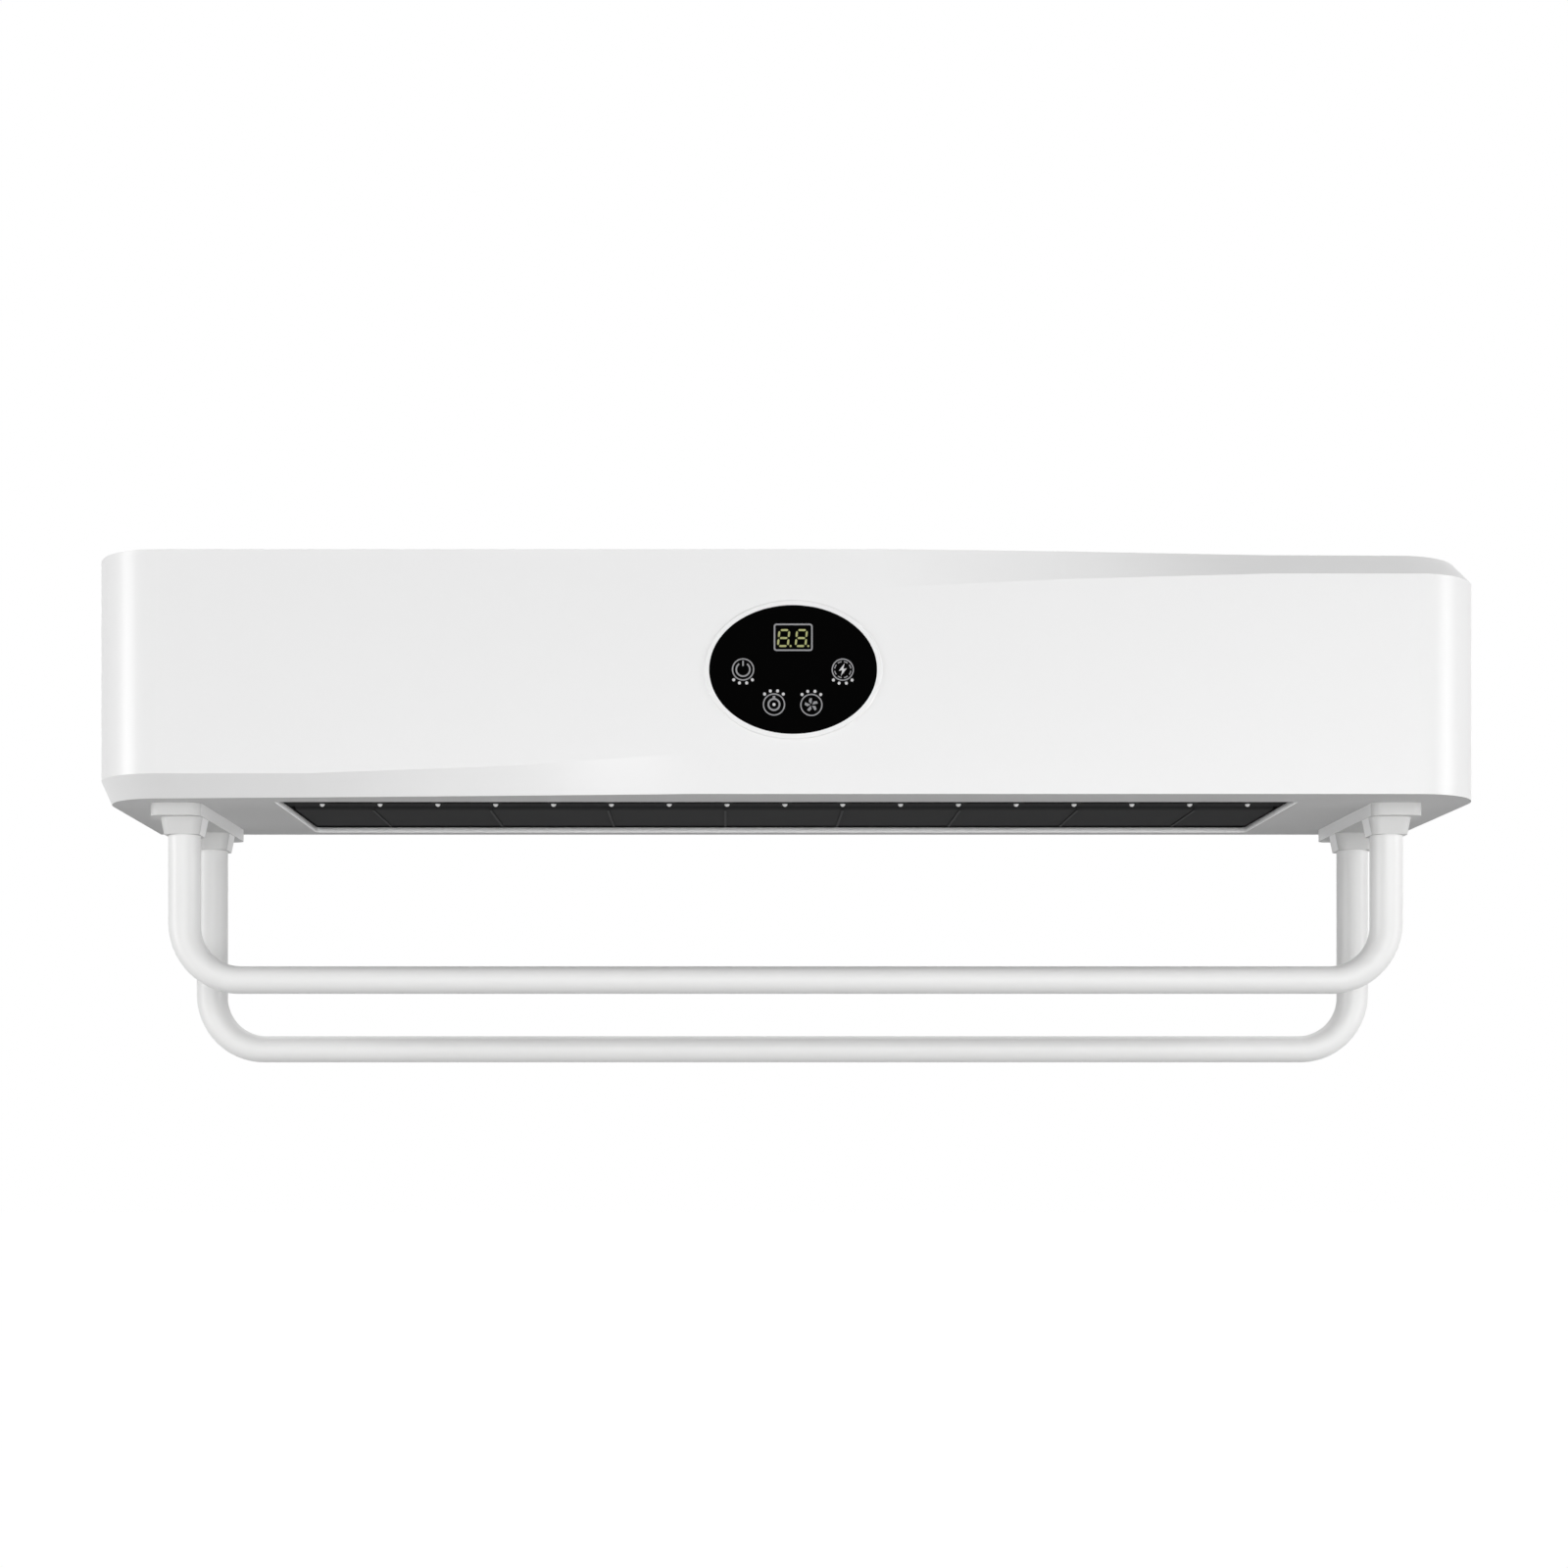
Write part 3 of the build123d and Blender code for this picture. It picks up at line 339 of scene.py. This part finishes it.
class Print:
    """Flat shapes in millimetres round one centre, gathered into one thin mesh on the glass."""

    def __init__(self, name, x, z, material, slot):
        self.name, self.x, self.z = name, x * MM, z * MM
        self.material, self.slot = material, slot
        self.mesh = bmesh.new()

    def point(self, x, z):
        y = GLASS_Y - PRINT_LIFT
        return self.mesh.verts.new((DIAL.x + self.x + x * MM, y, DIAL.z + self.z + z * MM))

    def polygon(self, points, bright=False):
        """Flat face through the points, in the print's own colour or in the brighter one."""
        face = self.mesh.faces.new([self.point(x, z) for x, z in points])
        face.material_index = int(bright)

    def arc(self, radius, line, start=0, sweep=360, steps=64, centre=(0, 0)):
        """Band of a circle, in degrees from the right, anticlockwise."""
        inner, outer = radius - line / 2, radius + line / 2
        count = max(2, int(steps * abs(sweep) / 360))
        rows = []
        for n in range(count + 1):
            turn = radians(start + sweep * n / count)
            c, s = cos(turn), sin(turn)
            rows.append((
                self.point(centre[0] + inner * c, centre[1] + inner * s),
                self.point(centre[0] + outer * c, centre[1] + outer * s),
            ))
        for (a, b), (c, d) in zip(rows, rows[1:]):
            self.mesh.faces.new((a, b, d, c))

    def dot(self, x, z, radius, steps=20, bright=False):
        turns = [2 * pi * n / steps for n in range(steps)]
        self.polygon([(x + radius * cos(turn), z + radius * sin(turn)) for turn in turns], bright)

    def stroke(self, start, end, line):
        """Straight line with square ends."""
        a, b = Vector(start), Vector(end)
        side = (b - a).normalized().orthogonal() * line / 2
        self.polygon([tuple(a - side), tuple(b - side), tuple(b + side), tuple(a + side)])

    def done(self):
        """Make the piece and put it on the housing."""
        mesh = bpy.data.meshes.new(self.name)
        bmesh.ops.remove_doubles(self.mesh, verts=self.mesh.verts, dist=1e-7)
        bmesh.ops.recalc_face_normals(self.mesh, faces=self.mesh.faces)
        self.mesh.to_mesh(mesh)
        self.mesh.free()
        obj = bpy.data.objects.new(self.name, mesh)
        scene.collection.objects.link(obj)
        solid = obj.modifiers.new("thickness", "SOLIDIFY")
        solid.thickness = PRINT_THICK
        solid.offset = 0
        mesh.materials.append(self.material)
        mesh.materials.append(PRINT_WHITE)
        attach(obj, "housing")


def label_dots(art, side):
    """Row of four dots that follows the ring, above or below it."""
    for turn in LABEL_TURNS:
        angle = radians(side * 90 + turn)
        art.dot(LABEL_RADIUS * cos(angle), LABEL_RADIUS * sin(angle), LABEL_DOT, bright=True)


def add_keys():
    """Four touch keys, each a ring with its symbol and a row of dots."""
    for key, (x, z, side) in KEYS.items():
        art = Print(f"key_{key}", x, z, PRINT_GREY, "pin_white")
        art.arc(RING_RADIUS, RING_LINE)
        label_dots(art, side)
        if key == "power":
            art.arc(3.15, 0.75, start=125, sweep=290)
            art.stroke((0, 1.6), (0, 4.0), 0.75)
        elif key == "heat":
            for n in range(8):
                art.arc(3.75, 0.5, start=n * 45 + 8, sweep=29)
            bolt = [(0.9, 3.0), (-1.9, -0.5), (-0.2, -0.3), (-0.9, -3.0), (1.9, 0.6), (0.2, 0.4)]
            art.polygon(bolt, bright=True)
        elif key == "timer":
            art.arc(2.6, 0.85)
            art.dot(0, 0, 0.75, bright=True)
            art.stroke((0, 2.9), (0, 4.0), 1.2)
        else:
            for n in range(5):
                turn = radians(90 + n * 72)
                tip = Vector((cos(turn), sin(turn)))
                across = Vector((-tip.y, tip.x))
                blade = [(0.5, 0), (1.5, 1.2), (3.0, 0.9), (3.1, -0.3)]
                art.polygon([tuple(tip * out + across * aside) for out, aside in blade])
        art.done()


def add_window():
    """Outline of the display window, with rounded corners."""
    art = Print("display_window", 0.05, 15.05, PRINT_GREY, "pin_white")
    half_w, half_h, corner, line = 8.7, 6.0, 1.0, 0.75
    for sx, sz, start in ((1, 1, 0), (-1, 1, 90), (-1, -1, 180), (1, -1, 270)):
        art.arc(corner, line, start, 90, centre=(sx * (half_w - corner), sz * (half_h - corner)))
    for sign in (-1, 1):
        art.stroke((corner - half_w, sign * half_h), (half_w - corner, sign * half_h), line)
        art.stroke((sign * half_w, corner - half_h), (sign * half_w, half_h - corner), line)
    art.done()


def add_digits():
    """Two slanted seven-segment eights, each with its point."""
    half_w, half_h, line, slant = 2.3, 3.7, 0.95, 0.1
    inset, gap = 0.45, 0.4
    point_reach, point_radius = 1.3, 0.5
    art = Print("digits_lit", 0, 14.7, DIGIT_GREEN, "digits")
    for middle in (-4.4, 3.8):
        def place(x, z):
            return (middle + x + slant * z, z)

        for z in (-half_h, 0, half_h):
            end = half_w - inset
            shoulder = end - line / 2
            art.polygon([
                place(-end, z), place(-shoulder, z + line / 2), place(shoulder, z + line / 2),
                place(end, z), place(shoulder, z - line / 2), place(-shoulder, z - line / 2),
            ])
        for x in (-half_w, half_w):
            for low in (-half_h, 0):
                a, b = low + gap, low + half_h - gap
                art.polygon([
                    place(x, a), place(x + line / 2, a + line / 2), place(x + line / 2, b - line / 2),
                    place(x, b), place(x - line / 2, b - line / 2), place(x - line / 2, a + line / 2),
                ])
        art.dot(*place(half_w + point_reach, -half_h), point_radius)
    art.done()


# Rim of the outlet; its section is in millimetres, inward and up from the underside
OUTLET_FRONT_Y = FRONT_Y + 25 * MM
OUTLET_REAR_Y = -10.5 * MM
OUTLET_HALF = 244 * MM
RIM_CORNER = 4 * MM
RIM_CORNER_STEPS = 8
RIM_END_WIDTH = 0.6
RIM_SECTION = [(0.0, 2.3), (1.0, 2.3), (1.0, 0.1), (0.85, -0.2), (0.5, -0.32), (0.15, -0.2), (0.0, 0.1)]


def add_rim():
    """White rim along the two ends and the rear of the outlet, standing a little proud of the underside;
    its white is brighter than the housing's, as painted light.
    """
    path = [Vector((-OUTLET_HALF, OUTLET_FRONT_Y, 0))]
    for n in range(RIM_CORNER_STEPS + 1):
        turn = radians(90 * n / RIM_CORNER_STEPS)
        x = RIM_CORNER * (1 - cos(turn)) - OUTLET_HALF
        y = OUTLET_REAR_Y - RIM_CORNER * (1 - sin(turn))
        path.append(Vector((x, y, 0)))
    path += [Vector((-p.x, p.y, 0)) for p in reversed(path)]
    mesh = bmesh.new()
    rows = []
    for n, spot in enumerate(path):
        ahead = path[min(n + 1, len(path) - 1)] - path[max(n - 1, 0)]
        inward = Vector((ahead.y, -ahead.x, 0)).normalized()
        if abs(ahead.x) < 1e-6:
            inward *= RIM_END_WIDTH
        rows.append([
            mesh.verts.new(spot + inward * (across * MM) + Vector((0, 0, UNDER_Z + up * MM)))
            for across, up in RIM_SECTION
        ])
    for one, two in zip(rows, rows[1:]):
        for k in range(len(RIM_SECTION)):
            mesh.faces.new((one[k], one[k - 1], two[k - 1], two[k]))
    mesh.faces.new(rows[0])
    mesh.faces.new(reversed(rows[-1]))
    bmesh.ops.recalc_face_normals(mesh, faces=mesh.faces)
    data = bpy.data.meshes.new("outlet_rim")
    mesh.to_mesh(data)
    mesh.free()
    rim = bpy.data.objects.new("outlet_rim", data)
    scene.collection.objects.link(rim)
    # Brighter white than the housing's: painted light on the rim
    data.materials.append(PAINTED_LIGHT_WHITE)
    data.shade_smooth()
    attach(rim, "housing")


add_camera()
add_world(WORLD_LEVEL)
add_floor()
for lamp_name, lamp_values in LAMPS.items():
    add_area(lamp_name, *lamp_values)
paint_nodes()
soften("front_cover", COVER_EDGE, COVER_EDGE_ANGLE)
add_keys()
add_window()
add_digits()
add_rim()
